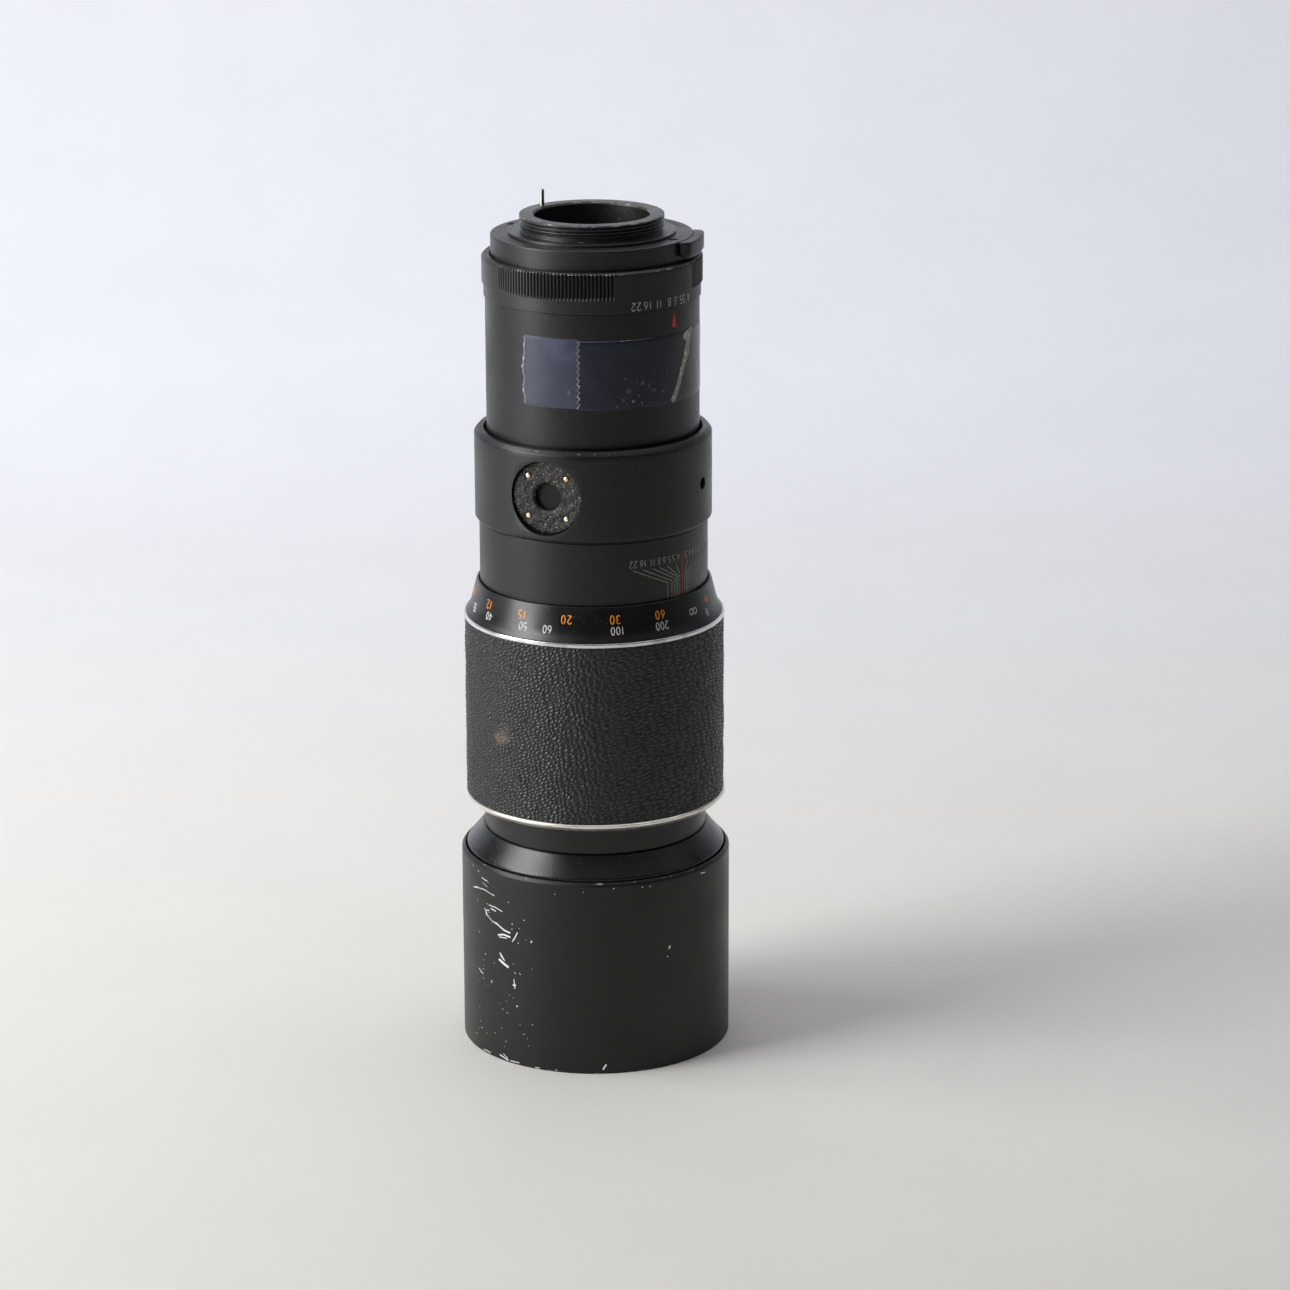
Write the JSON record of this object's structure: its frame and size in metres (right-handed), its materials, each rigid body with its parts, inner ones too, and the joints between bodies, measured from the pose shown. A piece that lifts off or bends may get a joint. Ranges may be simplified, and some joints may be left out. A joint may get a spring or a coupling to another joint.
{
  "type": "camera telephoto lens",
  "caption": "Long telephoto camera lens with a screw mount, focus and aperture rings, a turning tripod collar and a sliding hood.",
  "frame": {"origin": "centre of the hood rim, on the surface that the lens stands on", "axes": "+Z along the optical axis towards the camera mount; -Y towards the side with the tripod socket"},
  "size_m": [0.0802, 0.0802, 0.2555],
  "materials": {
    "black_hood_finish": "satin black anodised, scratched",
    "black_barrel_finish": "satin black anodised with fine speckle",
    "bright_chrome": "polished",
    "black_leatherette": "pebbled grain",
    "brass": "turned",
    "steel": "ground",
    "blackened_steel": "blackened",
    "socket_plate_metal": "rough black with dirt",
    "matt_black_inside": "matt black",
    "coated_glass": "coated"
  },
  "bodies": {
    "hood": {"hood_tube": "black_hood_finish", "hood_guide_ring": "matt_black_inside"},
    "front_barrel": {"front_barrel": "black_barrel_finish", "hood_stop_ring": "matt_black_inside", "front_retaining_ring": "matt_black_inside", "front_cell": "matt_black_inside", "front_element": "coated_glass", "front_spacer": "matt_black_inside", "second_element": "coated_glass", "rear_spacer": "matt_black_inside", "third_element": "coated_glass", "cell_locking_ring": "matt_black_inside", "cell_clamp_ring": "matt_black_inside", "inner_barrel": "black_barrel_finish", "front_light_baffle": "matt_black_inside"},
    "main_barrel": {"guide_barrel": "black_barrel_finish", "collar_journal": "black_barrel_finish", "key_sleeve": "matt_black_inside", "guide_keys": "brass", "focus_retaining_ring": "matt_black_inside", "focus_stop_screw": "steel", "rear_barrel": "black_barrel_finish", "iris_bulkhead": "matt_black_inside", "iris_pivot_pins": "steel", "rear_housing": "black_barrel_finish", "click_ball": "steel", "click_spring": "steel", "mount_screws": "blackened_steel", "lens_mount": "black_barrel_finish", "rear_cell": "matt_black_inside", "fourth_element": "coated_glass", "rear_group_spacer": "matt_black_inside", "rear_element": "coated_glass", "rear_retaining_ring": "matt_black_inside", "stop_down_spring": "steel"},
    "focus_ring": {"focus_ring": "black_barrel_finish", "focus_sleeve": "brass", "focus_set_screws": "blackened_steel", "grip_leather": "black_leatherette", "upper_trim_ring": "bright_chrome", "lower_trim_ring": "bright_chrome"},
    "tripod_collar": {"tripod_collar": "black_barrel_finish", "tripod_socket": "socket_plate_metal", "socket_pins": "brass", "collar_friction_shoe": "brass", "collar_grub_screw": "blackened_steel"},
    "aperture_ring": {"aperture_ring": "black_barrel_finish", "aperture_link_pin": "brass", "iris_drive_ring": "matt_black_inside"},
    "iris_blade_1": {"iris_blade_1": "blackened_steel"},
    "iris_blade_2": {"iris_blade_2": "blackened_steel"},
    "iris_blade_3": {"iris_blade_3": "blackened_steel"},
    "iris_blade_4": {"iris_blade_4": "blackened_steel"},
    "iris_blade_5": {"iris_blade_5": "blackened_steel"},
    "iris_blade_6": {"iris_blade_6": "blackened_steel"},
    "mode_switch": {"mode_switch": "black_barrel_finish"},
    "stop_down_pin": {"stop_down_pin": "steel"}
  },
  "joints": [
    {"name": "hood_slide", "type": "slide", "parent": "hood", "child": "front_barrel", "axis": [0, 0, 1], "range_m": [0, 0.042]},
    {"name": "focus_turn", "type": "hinge", "parent": "main_barrel", "child": "focus_ring", "pos_m": [0, 0, 0.0771], "axis": [0, 0, 1], "range_deg": [0, 284.18]},
    {"name": "focus_extension", "type": "slide", "parent": "front_barrel", "child": "main_barrel", "axis": [0, 0, 1], "range_m": [0, 0.01915]},
    {"name": "collar_turn", "type": "hinge", "parent": "main_barrel", "child": "tripod_collar", "pos_m": [0, 0, 0.1604], "axis": [0, 0, 1], "continuous": true},
    {"name": "aperture_turn", "type": "hinge", "parent": "main_barrel", "child": "aperture_ring", "pos_m": [0, 0, 0.227], "axis": [0, 0, 1], "range_deg": [-10, 25.3]},
    {"name": "switch_slide", "type": "hinge", "parent": "main_barrel", "child": "mode_switch", "pos_m": [0, 0, 0.24485], "axis": [0, 0, 1], "range_deg": [0, 12]},
    {"name": "pin_press", "type": "slide", "parent": "main_barrel", "child": "stop_down_pin", "axis": [0, 0, -1], "range_m": [0, 0.005], "stiffness_N_per_m": 120, "springref_m": -0.004, "deforming": ["stop_down_spring"]},
    {"name": "iris_blade_1_turn", "type": "hinge", "parent": "main_barrel", "child": "iris_blade_1", "pos_m": [0.024, 0, 0.2079], "axis": [0, 0, 1], "range_deg": [-7.4, 18.7]},
    {"name": "iris_blade_2_turn", "type": "hinge", "parent": "main_barrel", "child": "iris_blade_2", "pos_m": [0.012, 0.02079, 0.2079], "axis": [0, 0, 1], "range_deg": [-7.4, 18.7]},
    {"name": "iris_blade_3_turn", "type": "hinge", "parent": "main_barrel", "child": "iris_blade_3", "pos_m": [-0.012, 0.02079, 0.2079], "axis": [0, 0, 1], "range_deg": [-7.4, 18.7]},
    {"name": "iris_blade_4_turn", "type": "hinge", "parent": "main_barrel", "child": "iris_blade_4", "pos_m": [-0.024, 0, 0.2079], "axis": [0, 0, 1], "range_deg": [-7.4, 18.7]},
    {"name": "iris_blade_5_turn", "type": "hinge", "parent": "main_barrel", "child": "iris_blade_5", "pos_m": [-0.012, -0.02079, 0.2079], "axis": [0, 0, 1], "range_deg": [-7.4, 18.7]},
    {"name": "iris_blade_6_turn", "type": "hinge", "parent": "main_barrel", "child": "iris_blade_6", "pos_m": [0.012, -0.02079, 0.2079], "axis": [0, 0, 1], "range_deg": [-7.4, 18.7]}
  ],
  "couplings": [
    {"joint": "focus_extension", "follows": "focus_turn", "m_per_rad": 0.0038609},
    {"joint": "iris_blade_1_turn", "follows": "aperture_turn", "ratio": 0.737},
    {"joint": "iris_blade_2_turn", "follows": "aperture_turn", "ratio": 0.737},
    {"joint": "iris_blade_3_turn", "follows": "aperture_turn", "ratio": 0.737},
    {"joint": "iris_blade_4_turn", "follows": "aperture_turn", "ratio": 0.737},
    {"joint": "iris_blade_5_turn", "follows": "aperture_turn", "ratio": 0.737},
    {"joint": "iris_blade_6_turn", "follows": "aperture_turn", "ratio": 0.737}
  ]
}
